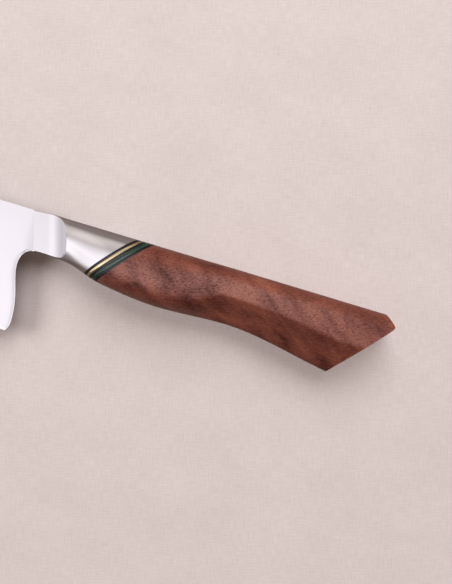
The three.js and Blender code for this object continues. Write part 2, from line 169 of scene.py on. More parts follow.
def smooth_through(*stations):
    """A smooth curve through (place, value) stations that never swings past them."""
    rises = [(b[1] - a[1]) / (b[0] - a[0]) for a, b in zip(stations, stations[1:])]
    slopes = [rises[0]]
    for before, after in zip(rises, rises[1:]):
        slopes.append(2 * before * after / (before + after) if before * after > 0 else 0)
    slopes.append(rises[-1])

    def curve(x):
        if x <= stations[0][0]:
            return stations[0][1] + slopes[0] * (x - stations[0][0])
        if x >= stations[-1][0]:
            return stations[-1][1] + slopes[-1] * (x - stations[-1][0])
        i = max(n for n, station in enumerate(stations) if station[0] < x)
        span = stations[i + 1][0] - stations[i][0]
        share = (x - stations[i][0]) / span
        lead = slopes[i] * span * share * (1 - share) ** 2
        trail = slopes[i + 1] * span * share ** 2 * (share - 1)
        return lerp(stations[i][1], stations[i + 1][1], smoothstep(share, 0, 1)) + lead + trail

    return curve


depth = smooth_through(
    (weld_foot, WELD_HEIGHT + NECK_DIP),
    (-NECK_LENGTH, NECK_HEIGHT + NECK_DIP),
    (0, BARREL_HEIGHT),
    (stack_foot, STACK_HEIGHT),
    (BELLY_SETBACK, BELLY_HEIGHT),
    (WAIST_SETBACK, WAIST_HEIGHT),
    (butt_corner, BUTT_HEIGHT),
)
half_thickness = smooth_through(
    (-WELD_SETBACK, NECK_HALF),
    (0, BARREL_HALF),
    (stack_foot, STACK_HALF),
    (FACET_START, HANDLE_HALF),
    (FACET_FULL, HANDLE_HALF),
)
ridge_drop = smooth_through(
    (0, BARREL_HEIGHT / 2),
    (RIDGE_RISE, RIDGE_START),
    (FACET_FULL, RIDGE_WAIST),
    (butt_plane - RIDGE_BEND_REACH, RIDGE_BEND),
    (butt_plane - RIDGE_LOW_REACH, RIDGE_LOW),
    (butt_plane - stack_slope * RIDGE_BUTT, RIDGE_BUTT),
)


def spine_dip(x):
    """How far the spine lies below the handle's: the neck dips a little towards the blade."""
    return NECK_DIP * (1 - smoothstep(x, -WELD_SETBACK, -NECK_LENGTH))


# Tracks of the half section from spine to keel: (corner, share, whether on the corner's rounding)
ROUND_STEPS = (0, 6, 6, 8, 6, 0)
FLAT_STEPS = (4, 1, 9, 11, 2)
TRACKS = [(0, 0, False)]
for corner, flat_steps in enumerate(FLAT_STEPS):
    round_steps = ROUND_STEPS[corner + 1]
    TRACKS += [(corner, n / (flat_steps + 1), False) for n in range(1, flat_steps + 1)]
    TRACKS += [(corner + 1, n / max(round_steps, 1), True) for n in range(round_steps + 1)]


def oval_power(x, below):
    """How square the oval is above or below its middle: round at the plunge, squarer at the stack."""
    square = smoothstep(x, -PLUNGE_SETBACK, STACK_SETBACK)
    if below:
        return lerp(PLUNGE_LOWER_POWER, STACK_LOWER_POWER, square)
    return lerp(PLUNGE_UPPER_POWER, STACK_UPPER_POWER, square)


def section_point(x, track):
    """Drop below the spine and half width of one track: an oval that turns into facets along the handle."""
    half = half_thickness(x)
    bottom = depth(x)
    faceted = smoothstep(x, FACET_START, FACET_FULL)
    rounds = (0, SPINE_ROUND, SPINE_ROUND, lerp(RIDGE_SOFT, RIDGE_ROUND, faceted), KEEL_ROUND, 0)
    corners = [Vector(c) for c in (
        (0, 0),
        (0, SPINE_FLAT / 2),
        (SHOULDER_DROP, half),
        (ridge_drop(x), half),
        (bottom, KEEL_WIDTH / 2),
        (bottom, 0),
    )]

    def along(corner, other):
        way = corners[other] - corners[corner]
        return corners[corner] + way.normalized() * min(rounds[corner], way.length / 2)

    corner, share, on_round = track
    if not on_round:
        point = along(corner, corner + 1).lerp(along(corner + 1, corner), share)
    elif rounds[corner] == 0:
        point = corners[corner]
    else:
        start = along(corner, corner - 1)
        end = along(corner, corner + 1)
        point = start.lerp(corners[corner], share).lerp(corners[corner].lerp(end, share), share)
    middle = bottom / 2
    ray = point - Vector((middle, 0))
    way = ray.normalized()
    power = oval_power(x, way.x > 0)
    oval = (abs(way.x) / middle) ** power + (abs(way.y) / half) ** power
    reach = lerp(oval ** (-1 / power), ray.length, faceted)
    return middle + way.x * reach, max(way.y * reach, 0)


def oval_point(x, turn):
    """Drop and half width of the oval section at a turn from the spine, 0, to the keel, pi."""
    power = oval_power(x, math.cos(turn) < 0)
    along = math.copysign(abs(math.cos(turn)) ** (2 / power), math.cos(turn))
    across = abs(math.sin(turn)) ** (2 / power)
    return depth(x) / 2 * (1 - along), half_thickness(x) * across


RING_PASSES = 8


def on_skin(point_at, lean):
    """A point of the skin on a ring whose place along the knife, at each height, lean gives."""
    x = lean(0)
    for _ in range(RING_PASSES):
        drop, half = point_at(x)
        y = -drop - spine_dip(x) * (1 - drop / depth(x))
        x = lean(y)
    return Vector((x, y, half))


def mirrored(side):
    """A closed ring from its half on the +Z side."""
    return side + [Vector((p.x, p.y, -p.z)) for p in side[-2:0:-1]]


def skin_ring(lean):
    return mirrored([on_skin(lambda x, t=track: section_point(x, t), lean) for track in TRACKS])


def slanted(spine_x, slope):
    """The lean of a plane ring that crosses the spine's line at a place."""
    return lambda y: spine_x + slope * y


# Mesh tools
SHARP_ANGLE = math.radians(35)


def loft(bm, rings):
    """Extrudes the first ring through the others, and returns each ring's vertices."""
    loop = [bm.verts.new(p) for p in rings[0]]
    edges = [bm.edges.new(pair) for pair in zip(loop, loop[1:] + loop[:1])]
    rows = [loop]
    for ring in rings[1:]:
        made = bmesh.ops.extrude_edge_only(bm, edges=edges)["geom"]
        fresh = {v for v in made if isinstance(v, bmesh.types.BMVert)}
        loop = [next(e.other_vert(v) for e in v.link_edges if e.other_vert(v) in fresh) for v in loop]
        for vert, place in zip(loop, ring):
            vert.co = place
        edges = loop_edges(bm, loop)
        rows.append(loop)
    return rows


def loop_edges(bm, loop):
    return [bm.edges.get(pair) for pair in zip(loop, loop[1:] + loop[:1])]


def ladder(bm, loop):
    """Closes a mirrored ring with rungs from side to side."""
    for n in range(len(loop) // 2):
        rung = {loop[n], loop[n + 1], loop[-n], loop[-n - 1]}
        bmesh.ops.contextual_create(bm, geom=list(rung))


def bridge(bm, loop, other):
    bmesh.ops.bridge_loops(bm, edges=loop_edges(bm, loop) + loop_edges(bm, other))


def soften(bm, edges, width, segments=2):
    bmesh.ops.bevel(
        bm, geom=edges, offset=width, offset_type="OFFSET", affect="EDGES",
        segments=segments, profile=0.5, material=-1, clamp_overlap=True,
    )


def finish_piece(name, bm, material, sharp=SHARP_ANGLE):
    """Makes the object in the row frame, hangs it on the root body and hides the imported piece that it
    stands in for.
    """
    bmesh.ops.recalc_face_normals(bm, faces=bm.faces)
    mesh = bpy.data.meshes.new(name)
    bm.to_mesh(mesh)
    bm.free()
    mesh.shade_smooth()
    mesh.set_sharp_from_angle(angle=sharp)
    mesh.materials.append(material)
    shown = bpy.data.objects.new(name + "_visual", mesh)
    bpy.context.scene.collection.objects.link(shown)
    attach(shown, "root")
    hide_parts(name)
    return shown


# Colours and nodes
def linear(hex_colour):
    """sRGB hex to linear RGBA."""
    channels = [int(hex_colour[i:i + 2], 16) / 255 for i in (1, 3, 5)]
    return [c / 12.92 if c <= 0.04045 else ((c + 0.055) / 1.055) ** 2.4 for c in channels] + [1]


def add(tree, kind, inputs=None, stops=None, **settings):
    """Adds a node with its settings, its colour stops, and its inputs as values or links."""
    made = tree.nodes.new("ShaderNode" + kind)
    for name, value in settings.items():
        setattr(made, name, value)
    for name, value in (inputs or {}).items():
        if isinstance(value, bpy.types.NodeSocket):
            tree.links.new(value, made.inputs[name])
        else:
            made.inputs[name].default_value = value
    if stops:
        elements = made.color_ramp.elements
        while len(elements) < len(stops):
            elements.new(1)
        for element, (place, colour) in zip(elements, stops):
            element.position = place
            element.color = linear(colour) if isinstance(colour, str) else (colour, colour, colour, 1)
    return made


def new_material(name):
    """A material, its tree, its shader and Object coordinates."""
    made = bpy.data.materials.new(name)
    made.use_nodes = True
    tree = made.node_tree
    shader = tree.nodes["Principled BSDF"]
    place = add(tree, "TexCoord").outputs["Object"]
    return made, tree, shader, place


UNTURNED = (0, 0, 0)


def cell(place, size, turn=UNTURNED):
    """Inputs of a texture mapping whose unit cell has these sizes in millimetres, turned as a whole."""
    return {"Vector": place, "Rotation": turn, "Scale": [length * MM for length in size]}


# Patches on the wood, in the knife's frame. They are partly its figure of dark heart streaks and paler
# patches, and partly painted shade on the belly and lower facet and painted highlights beside the stack.
# Each has its place (x, y), its length, width and turn in the blade's plane, and how much lighter or darker
# it makes the wood.
FIGURE_AND_SHADE_PATCHES = (
    (60, -1.5, 14, 3, 0, -0.22),
    (41, -9, 17, 7, -40, -0.14),
    (46, -8, 50, 18, 0, -0.13),
    (63, -15.5, 14, 5, -20, -0.14),
    (55.5, -14, 20, 8, 20, -0.26),
    (55, -18.3, 16, 6, -10, -0.3),
    (20.5, -17.5, 6, 4, -8, -0.25),
    (32, -19, 12, 5, -8, -0.32),
    (67, -14.5, 20, 5, 8, -0.1),
    (84, -8, 22, 3.5, -38, -0.2),
    (95, -7, 26, 4, -38, -0.1),
    (100, -16.5, 36, 3.6, -21, -0.08),
    (107, -13, 20, 6, -18, -0.14),
    (92, -20.5, 12, 4, -10, -0.2),
    (95.5, -23, 10, 4, -20, -0.22),
    (103, -22.5, 22, 4.5, -20, 0.12),
    (110, -16.8, 22, 5.5, -14, -0.24),
    (112, -25.5, 13, 6, -20, -0.2),
    (78, -16.2, 11, 4, -5, -0.16),
    (124, -5.5, 26, 7, -25, -0.24),
    (37, -15.5, 15, 10, -30, 0.16),
    (49, -16, 8, 5, 0, 0.14),
    (24.5, -13.5, 9, 8, -30, 0.2),
    (52, -5.5, 26, 7, -8, 0.2),
    (74, -8, 24, 13, -15, 0.2),
    (82, -4, 20, 8, -20, 0.16),
    (85, -13.6, 22, 4, -5, 0.1),
    (101, -8, 16, 9, -35, 0.16),
    (116, -11.5, 26, 6, -40, 0.16),
    (72, -19.5, 26, 4, 2, 0.16),
)
PATCH_THROUGH = 60
PATCH_STRENGTH = 1.6

# The wood's other patterns: cells along the grain and across it both ways, and how much each one does
WANDER_CELL = (12, 7, 9)
WANDER_REACH = 5
STREAK_CELL = (30, 4.5, 9)
STREAK_TURN = (0.3, 0.2, math.radians(-38))
FIBRE_CELL = (3.2, 0.5, 0.5)
FIBRE_SHARE = 0.6
STIPPLE_CELL = (1.1, 0.6, 0.6)
STIPPLE_SHARE = 0.65
PORE_CELL = (1.3, 0.42, 0.42)
PORE_SHARE = 0.58
PORE_DEPTH = 0.1
GRAIN_TURN = (0, 0, math.radians(17))


def rosewood():
    """Oiled rosewood: soft heart streaks cross the handle, and short open pores run along the grain. Listed
    patches add figure, and also painted shade and painted highlights.
    """
    made, tree, shader, place = new_material("oiled_rosewood")

    # The figure and the painted shade wander a little, so that streaks and patches have no straight sides
    wander = add(tree, "Mapping", cell(place, WANDER_CELL), vector_type="TEXTURE").outputs[0]
    wander = add(tree, "TexNoise", {"Vector": wander, "Scale": 1, "Detail": 2}).outputs["Color"]
    wander = add(tree, "VectorMath", {0: wander, 1: (0.5, 0.5, 0.5)}, operation="SUBTRACT").outputs[0]
    wander = add(tree, "VectorMath", {0: wander, "Scale": WANDER_REACH * MM}, operation="SCALE").outputs[0]
    drawn = add(tree, "VectorMath", {0: place, 1: wander}, operation="ADD").outputs[0]
    streaks = add(tree, "Mapping", cell(drawn, STREAK_CELL, STREAK_TURN), vector_type="TEXTURE").outputs[0]
    streaks = add(tree, "TexNoise", {
        "Vector": streaks, "Scale": 1, "Detail": 3, "Roughness": 0.55,
    }).outputs["Fac"]
    figure_and_shade = add(tree, "MapRange", {
        "Value": streaks, "From Min": 0.25, "From Max": 0.75, "To Min": 0.3, "To Max": 0.7,
    }).outputs[0]
    # The patches are partly the wood's figure and partly painted shade and painted highlights
    for x, y, length, width, turn, lift in FIGURE_AND_SHADE_PATCHES:
        near = add(tree, "Mapping", {
            "Vector": drawn,
            "Location": KNIFE_ZERO + Vector((x, y, 0)) * MM,
            "Rotation": (0, 0, math.radians(turn)),
            "Scale": Vector((length, width, PATCH_THROUGH)) / 2 * MM,
        }, vector_type="TEXTURE").outputs[0]
        patch = add(tree, "TexGradient", {"Vector": near}, gradient_type="SPHERICAL").outputs["Fac"]
        figure_and_shade = add(tree, "Math", {
            0: patch, 1: lift * PATCH_STRENGTH, 2: figure_and_shade,
        }, operation="MULTIPLY_ADD").outputs[0]

    # Fine fibres and stipple break up the figure
    fibres = add(tree, "Mapping", cell(place, FIBRE_CELL, GRAIN_TURN), vector_type="TEXTURE").outputs[0]
    fibres = add(tree, "TexNoise", {
        "Vector": fibres, "Scale": 1, "Detail": 4, "Roughness": 0.7,
    }).outputs["Fac"]
    stipple = add(tree, "Mapping", cell(place, STIPPLE_CELL, GRAIN_TURN), vector_type="TEXTURE").outputs[0]
    stipple = add(tree, "TexNoise", {
        "Vector": stipple, "Scale": 1, "Detail": 2, "Roughness": 0.6,
    }).outputs["Fac"]
    for fine, share in ((fibres, FIBRE_SHARE), (stipple, STIPPLE_SHARE)):
        centred = add(tree, "Math", {0: fine, 1: 0.5}, operation="SUBTRACT").outputs[0]
        figure_and_shade = add(tree, "Math", {0: centred, 1: share, 2: figure_and_shade}, operation="MULTIPLY_ADD").outputs[0]
    base = add(tree, "ValToRGB", {"Fac": figure_and_shade}, stops=[
        (0.0, "#391813"), (0.25, "#5f2c22"), (0.5, "#7a3e2f"), (0.75, "#93503b"), (1.0, "#ad664b"),
    ]).outputs[0]

    # Pores are dark, dull and sunk
    pores = add(tree, "Mapping", cell(place, PORE_CELL, GRAIN_TURN), vector_type="TEXTURE").outputs[0]
    pores = add(tree, "TexVoronoi", {
        "Vector": pores, "Scale": 1, "Randomness": 1,
    }, feature="F1").outputs["Distance"]
    pore_mask = add(tree, "MapRange", {
        "Value": pores, "From Min": 0.1, "From Max": 0.34, "To Min": 1, "To Max": 0,
    }).outputs[0]
    pore_share = add(tree, "Math", {0: pore_mask, 1: PORE_SHARE}, operation="MULTIPLY").outputs[0]
    colour = add(tree, "Mix", {0: pore_share, 6: base, 7: linear("#2a110b")}, data_type="RGBA").outputs[2]
    tree.links.new(colour, shader.inputs["Base Color"])
    rough = add(tree, "MapRange", {"Value": fibres, "To Min": 0.2, "To Max": 0.38}).outputs[0]
    tree.links.new(rough, shader.inputs["Roughness"])
    shine = add(tree, "MapRange", {
        "Value": figure_and_shade, "From Min": 0.1, "From Max": 0.6, "To Min": 0.18, "To Max": 0.62,
    }).outputs[0]
    closed = add(tree, "Math", {0: 1, 1: pore_share}, operation="SUBTRACT").outputs[0]
    shine = add(tree, "Math", {0: shine, 1: closed}, operation="MULTIPLY").outputs[0]
    tree.links.new(shine, shader.inputs["Specular IOR Level"])
    height = add(tree, "Math", {0: fibres, 1: pore_mask}, operation="SUBTRACT").outputs[0]
    bump = add(tree, "Bump", {
        "Height": height, "Strength": 0.7, "Distance": PORE_DEPTH * MM,
    }).outputs[0]
    tree.links.new(bump, shader.inputs["Normal"])
    shader.inputs["Sheen Weight"].default_value = 0.1
    shader.inputs["Sheen Roughness"].default_value = 0.5
    shader.inputs["Sheen Tint"].default_value = linear("#ffeee8")
    return made


SCRATCH_DEPTH = 0.01


def steel(name, colours, roughness, scratch, turn=UNTURNED):
    """Steel finished with one grit: fine parallel scratches, so that what it mirrors smears across them.
    The scratches are drawn several times as wide as real ones, so that they show."""
    made, tree, shader, place = new_material(name)
    scratches = add(tree, "Mapping", cell(place, scratch, turn), vector_type="TEXTURE").outputs[0]
    scratches = add(tree, "TexNoise", {
        "Vector": scratches, "Scale": 1, "Detail": 4, "Roughness": 0.65,
    }).outputs["Fac"]
    pale, bright = colours
    tint = add(tree, "ValToRGB", {"Fac": scratches}, stops=[(0.3, pale), (0.7, bright)]).outputs[0]
    tree.links.new(tint, shader.inputs["Base Color"])
    shader.inputs["Metallic"].default_value = 1
    smoothest, roughest = roughness
    rough = add(tree, "MapRange", {
        "Value": scratches, "From Min": 0.25, "From Max": 0.75, "To Min": smoothest, "To Max": roughest,
    }).outputs[0]
    tree.links.new(rough, shader.inputs["Roughness"])
    bump = add(tree, "Bump", {
        "Height": scratches, "Strength": 0.04, "Distance": SCRATCH_DEPTH * MM,
    }).outputs[0]
    tree.links.new(bump, shader.inputs["Normal"])
    return made


WHEEL_MARK = (6, 0.3, 0.3)


def brass():
    """Polished brass: pale yellow, with faint wheel marks that are drawn coarse enough to show."""
    made, tree, shader, place = new_material("polished_brass")
    marks = add(tree, "Mapping", cell(place, WHEEL_MARK), vector_type="TEXTURE").outputs[0]
    marks = add(tree, "TexNoise", {"Vector": marks, "Scale": 1, "Detail": 3}).outputs["Fac"]
    tint = add(tree, "ValToRGB", {"Fac": marks}, stops=[(0.3, "#f2dca0"), (0.7, "#fbefc9")]).outputs[0]
    tree.links.new(tint, shader.inputs["Base Color"])
    shader.inputs["Metallic"].default_value = 1
    rough = add(tree, "MapRange", {"Value": marks, "To Min": 0.14, "To Max": 0.26}).outputs[0]
    tree.links.new(rough, shader.inputs["Roughness"])
    return made


PAPER_FIBRE = (1.6, 0.25, 0.25)


def vulcanised_fibre():
    """Black vulcanised fibre: satin, with paler fibres just showing."""
    made, tree, shader, place = new_material("black_vulcanised_fibre")
    fibres = add(tree, "Mapping", cell(place, PAPER_FIBRE), vector_type="TEXTURE").outputs[0]
    fibres = add(tree, "TexNoise", {"Vector": fibres, "Scale": 1, "Detail": 4}).outputs["Fac"]
    tint = add(tree, "ValToRGB", {"Fac": fibres}, stops=[(0.35, "#08080a"), (0.75, "#17171b")]).outputs[0]
    tree.links.new(tint, shader.inputs["Base Color"])
    rough = add(tree, "MapRange", {"Value": fibres, "To Min": 0.2, "To Max": 0.36}).outputs[0]
    tree.links.new(rough, shader.inputs["Roughness"])
    return made


CLOTH_THREAD = (0.55, 0.55, 0.55)
RESIN_CLOUD = (5, 5, 5)


def glass_cloth_laminate():
    """Green glass cloth laminate: dark resin with a faint cloth weave under a satin polish."""
    made, tree, shader, place = new_material("green_glass_cloth_laminate")
    threads = add(tree, "Mapping", cell(place, CLOTH_THREAD), vector_type="TEXTURE").outputs[0]
    threads = add(tree, "TexVoronoi", {
        "Vector": threads, "Scale": 1, "Randomness": 0.35,
    }).outputs["Distance"]
    clouds = add(tree, "Mapping", cell(place, RESIN_CLOUD), vector_type="TEXTURE").outputs[0]
    clouds = add(tree, "TexNoise", {"Vector": clouds, "Scale": 1, "Detail": 2}).outputs["Fac"]
    mixed = add(tree, "Math", {0: threads, 1: 0.35, 2: clouds}, operation="MULTIPLY_ADD").outputs[0]
    tint = add(tree, "ValToRGB", {"Fac": mixed}, stops=[(0.4, "#0f2b1f"), (0.85, "#234437")]).outputs[0]
    tree.links.new(tint, shader.inputs["Base Color"])
    rough = add(tree, "MapRange", {"Value": threads, "To Min": 0.16, "To Max": 0.28}).outputs[0]
    tree.links.new(rough, shader.inputs["Roughness"])
    shader.inputs["IOR"].default_value = 1.6
    return made


EPOXY_CLOUD = (7, 7, 7)


def cured_epoxy():
    """Cured epoxy: amber and slightly cloudy, hidden in the handle."""
    made, tree, shader, place = new_material("amber_epoxy")
    clouds = add(tree, "Mapping", cell(place, EPOXY_CLOUD), vector_type="TEXTURE").outputs[0]
    clouds = add(tree, "TexNoise", {"Vector": clouds, "Scale": 1, "Detail": 2}).outputs["Fac"]
    tint = add(tree, "ValToRGB", {"Fac": clouds}, stops=[(0.3, "#b89a5e"), (0.7, "#d6bd84")]).outputs[0]
    tree.links.new(tint, shader.inputs["Base Color"])
    shader.inputs["Roughness"].default_value = 0.3
    shader.inputs["IOR"].default_value = 1.55
    return made


# How far the picture is turned against the knife, and the linen's threads, which lie square in the picture
VIEW_TURN = math.radians(17.02)
WEFT_CELL = (5, 0.5, 1)
WARP_CELL = (0.5, 5, 1)
STAIN_CELL = (26, 18, 18)
STAIN_SHARE = 0.22


def linen_floor():
    """Pale linen: warm grey, with threads both ways that are drawn about twice as coarse as real ones.
    Glossy rays see a darker cloth, which keeps the lower edges of the steel dark."""
    made, tree, shader, place = new_material("pale_linen")
    turn = (0, 0, VIEW_TURN)
    weft = add(tree, "Mapping", cell(place, WEFT_CELL, turn), vector_type="TEXTURE").outputs[0]
    weft = add(tree, "TexNoise", {"Vector": weft, "Scale": 1, "Detail": 3}).outputs["Fac"]
    warp = add(tree, "Mapping", cell(place, WARP_CELL, turn), vector_type="TEXTURE").outputs[0]
    warp = add(tree, "TexNoise", {"Vector": warp, "Scale": 1, "Detail": 3}).outputs["Fac"]
    threads = add(tree, "Mix", {0: 0.5, 2: weft, 3: warp}).outputs[0]
    stains = add(tree, "Mapping", cell(place, STAIN_CELL), vector_type="TEXTURE").outputs[0]
    stains = add(tree, "TexNoise", {"Vector": stains, "Scale": 1, "Detail": 5}).outputs["Fac"]
    cloth = add(tree, "Mix", {0: STAIN_SHARE, 2: threads, 3: stains}).outputs[0]
    tint = add(tree, "ValToRGB", {"Fac": cloth}, stops=[(0.3, "#d6cac7"), (0.7, "#ebe1e0")]).outputs[0]
    glossy = add(tree, "LightPath").outputs["Is Glossy Ray"]
    shade = add(tree, "Mix", {0: glossy, 6: tint, 7: linear("#7f736e")}, data_type="RGBA").outputs[2]
    tree.links.new(shade, shader.inputs["Base Color"])
    shader.inputs["Roughness"].default_value = 0.85
    shader.inputs["Specular IOR Level"].default_value = 0.2
    return made


# Pieces
NECK_RINGS = 6
PLUNGE_RINGS = 22
BARREL_RINGS = 26
ARC_STEPS = 16
PLUNGE_STEPS = 12
APEX_PASSES = 40
FACE_SPARE = 0.03
SKIN_MERGE = 1e-4


def plunge_half(reach):
    """Half thickness that the plunge cut leaves at a reach behind the plunge's start."""
    reach = max(reach, 0)
    return SPINE_THICKNESS / 2 + PLUNGE_RADIUS - math.sqrt(PLUNGE_RADIUS ** 2 - reach ** 2)


def plunge_spine(reach):
    """Where the ring at this reach crosses the spine's line."""
    return -PLUNGE_SETBACK + reach / math.cos(PLUNGE_SLANT)


def plunge_apex():
    """The reach at which the plunge runs out on the side of the barrel."""
    low, high = 0, PLUNGE_RADIUS
    for _ in range(APEX_PASSES):
        reach = (low + high) / 2
        side = on_skin(lambda x: oval_point(x, math.pi / 2), slanted(plunge_spine(reach), weld_slope))
        if plunge_half(reach) < side.z:
            low = reach
        else:
            high = reach
    return low


def bolster_ring(lean, cap):
    """A ring of the oval, with its sides cut flat at the half thickness cap."""
    def cut_turn(x, below):
        return math.asin(min(cap / half_thickness(x), 1) ** (oval_power(x, below) / 2))

    shares = [n / ARC_STEPS for n in range(ARC_STEPS + 1)]
    upper = [on_skin(lambda x, s=s: oval_point(x, s * cut_turn(x, False)), lean) for s in shares]
    lower = [
        on_skin(lambda x, s=s: oval_point(x, math.pi - s * cut_turn(x, True)), lean)
        for s in reversed(shares)
    ]
    flat = [upper[-1].lerp(lower[0], n / PLUNGE_STEPS) for n in range(1, PLUNGE_STEPS)]
    return mirrored(upper + flat + lower)


def bolster(satin):
    """Barrel polished along the knife, with neck and plunge in the blade's own satin."""
    apex = plunge_apex()
    weld_reach = (weld_spine + PLUNGE_SETBACK) * math.cos(PLUNGE_SLANT)
    reaches = [weld_reach * (1 - n / NECK_RINGS) for n in range(NECK_RINGS)]
    reaches += [apex * math.sin(math.pi / 2 * n / PLUNGE_RINGS) for n in range(PLUNGE_RINGS + 1)]
    rings = [bolster_ring(slanted(plunge_spine(r), weld_slope), plunge_half(r)) for r in reaches]
    front = plunge_spine(apex)
    # Behind the plunge nothing is cut: the cap is wider than the barrel
    for n in range(1, BARREL_RINGS + 1):
        share = n / BARREL_RINGS
        place = slanted(lerp(front, STACK_SETBACK, share), lerp(weld_slope, stack_slope, share))
        rings.append(bolster_ring(place, HANDLE_HALF))
    bm = bmesh.new()
    rows = loft(bm, rings)
    ladder(bm, rows[0])
    ladder(bm, rows[-1])
    soften(bm, loop_edges(bm, rows[0]), WELD_EDGE, segments=1)
    bmesh.ops.remove_doubles(bm, verts=bm.verts, dist=SKIN_MERGE)
    bmesh.ops.dissolve_degenerate(bm, edges=bm.edges, dist=SKIN_MERGE)
    for face in bm.faces:
        middle = face.calc_center_median()
        reach = (middle.x + PLUNGE_SETBACK) * math.cos(PLUNGE_SLANT) + middle.y * math.sin(PLUNGE_SLANT)
        if reach < apex and abs(middle.z) < plunge_half(reach) + FACE_SPARE:
            face.material_index = 1
    bmesh.ops.transform(bm, matrix=TO_ROW, verts=bm.verts)
    polished = steel(
        "polished_bolster_steel",
        colours=("#f0efef", "#f6f5f5"),
        roughness=(0.14, 0.2),
        scratch=(30, 0.25, 0.25),
    )
    made = finish_piece("bolster", bm, polished)
    made.data.materials.append(satin)
    return made


def spacer(name, front, rear, material, slot):
    """One plate of the stack, with the slot that lets the tang through."""
    bm = bmesh.new()
    outer = loft(bm, [skin_ring(slanted(front, stack_slope)), skin_ring(slanted(rear, stack_slope))])
    top = -TANG_DROP + (TANG_WIDTH / 2 + GLUE_GAP)
    foot = -TANG_DROP - (TANG_WIDTH / 2 + GLUE_GAP)
    aside = TANG_THICKNESS / 2 + GLUE_GAP
    corners = ((top, aside), (foot, aside), (foot, -aside), (top, -aside))
    inner = loft(bm, [[Vector((x + stack_slope * y, y, z)) for y, z in corners] for x in (front, rear)])
    for outside, inside in zip(outer, inner):
        bridge(bm, outside, inside)
    soften(bm, [e for row in outer for e in loop_edges(bm, row)], STACK_EDGE)
    bmesh.ops.transform(bm, matrix=TO_ROW, verts=bm.verts)
    return finish_piece(name, bm, material)


HANDLE_RINGS = 84
HOLE_SIDES = 36


def butt_line(y):
    """The butt's place along the knife at a height: its slanted face, cut off above and eased between."""
    face = butt_plane + stack_slope * y
    cut_rise = (BUTT_CUT_LENGTH - stack_slope * BUTT_CUT_DROP) / BUTT_CUT_DROP
    cut = butt_plane - BUTT_CUT_LENGTH - cut_rise * y
    return (face + cut - math.hypot(face - cut, BUTT_EASE)) / 2


def hole_ring(place, slope):
    """A ring of the drilled hole, at a place on the tang's line."""
    ring = []
    for n in range(HOLE_SIDES):
        turn = 2 * math.pi * n / HOLE_SIDES
        rise = HOLE_DIAMETER / 2 * math.cos(turn)
        ring.append(Vector((place + slope * rise, rise - TANG_DROP, HOLE_DIAMETER / 2 * math.sin(turn))))
    return ring


def handle():
    """The wood from the stack to the butt, with the hole drilled for the tang."""
    def lean(share):
        return lambda y: lerp(wood_front + stack_slope * y, butt_line(y), share)

    bm = bmesh.new()
    rows = loft(bm, [skin_ring(lean(n / HANDLE_RINGS)) for n in range(HANDLE_RINGS + 1)])
    ladder(bm, rows[-1])
    mouth = hole_ring(stack_foot + wood_front - STACK_SETBACK, stack_slope)
    end = hole_ring(stack_foot + HOLE_LENGTH - TANG_SEAT, 0)
    hole_rows = loft(bm, [mouth, end])
    bridge(bm, rows[0], hole_rows[0])
    bmesh.ops.contextual_create(bm, geom=hole_rows[1])
    soften(bm, loop_edges(bm, rows[-1]), BUTT_EDGE, segments=3)
    bmesh.ops.transform(bm, matrix=TO_ROW, verts=bm.verts)
    return finish_piece("handle", bm, rosewood())


BLADE_MERGE = 0.001
BLADE_FLAT = math.radians(8)
BLADE_SHAPE = math.radians(70)
BLADE_SHARP = math.radians(7)
BLADE_LEVELS = 2
FACING_SIDE = 0.5


def blade(satin):
    """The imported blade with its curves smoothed, and a rim ground along its heel and choil."""
    bm = bmesh.new()
    bm.from_mesh(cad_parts["blade"].data)
    bmesh.ops.remove_doubles(bm, verts=bm.verts, dist=BLADE_MERGE * MM)
    bmesh.ops.join_triangles(
        bm, faces=bm.faces, angle_face_threshold=BLADE_FLAT, angle_shape_threshold=BLADE_SHAPE,
    )
    heel_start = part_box("blade")[1].x - HEEL_REACH * MM
    neck_foot = KNIFE_ZERO.y - (NECK_DIP + WELD_HEIGHT) * MM

    def at_heel(face):
        middle = face.calc_center_median()
        return abs(face.normal.z) < FACING_SIDE and middle.x > heel_start and middle.y < neck_foot

    def outline():
        return {v for face in bm.faces if at_heel(face) for v in face.verts}

    def leaving(line, behind):
        """The edges that run from a line into the blade's sides."""
        return [
            (v, e) for v in line for e in v.link_edges
            if e.other_vert(v) not in line | behind
            and all(abs(f.normal.z) > FACING_SIDE for f in e.link_faces)
        ]

    def next_line(line):
        return {e.other_vert(v) for v, e in leaving(line, set())}

    def cut_inside(line, behind, width):
        """Draws a line on the sides, a width inside another one."""
        shares = {}
        for v, e in leaving(line, behind):
            ends = [side.other_vert(v).co for side in v.link_edges if side.other_vert(v) in line]
            reach = (e.other_vert(v).co - v.co).cross((ends[0] - ends[-1]).normalized()).length
            share = min(width * MM / max(reach, width * MM), RIM_REACH)
            shares[e] = share if e.verts[0] == v else 1 - share
        bmesh.ops.subdivide_edges(bm, edges=list(shares), cuts=1, edge_percents=shares)

    # A cut makes all vertices found before it invalid, so the outline is found anew each time
    cut_inside(outline(), set(), RIM_WIDTH)
    cut_inside(next_line(outline()), outline(), RIM_STEP)
    for v in outline() | next_line(outline()):
        rise = v.co.z - KNIFE_ZERO.z
        v.co.z -= math.copysign(min(RIM_DEPTH * MM, RIM_SHARE * abs(rise)), rise)
    crease = bm.edges.layers.float.new("crease_edge")
    for edge in bm.edges:
        if edge.calc_face_angle(0) > BLADE_SHARP:
            edge[crease] = 1
    made = finish_piece("blade", bm, satin, sharp=BLADE_SHARP)
    smooth = made.modifiers.new("smooth_curves", "SUBSURF")
    smooth.levels = BLADE_LEVELS
    smooth.render_levels = BLADE_LEVELS
    return made


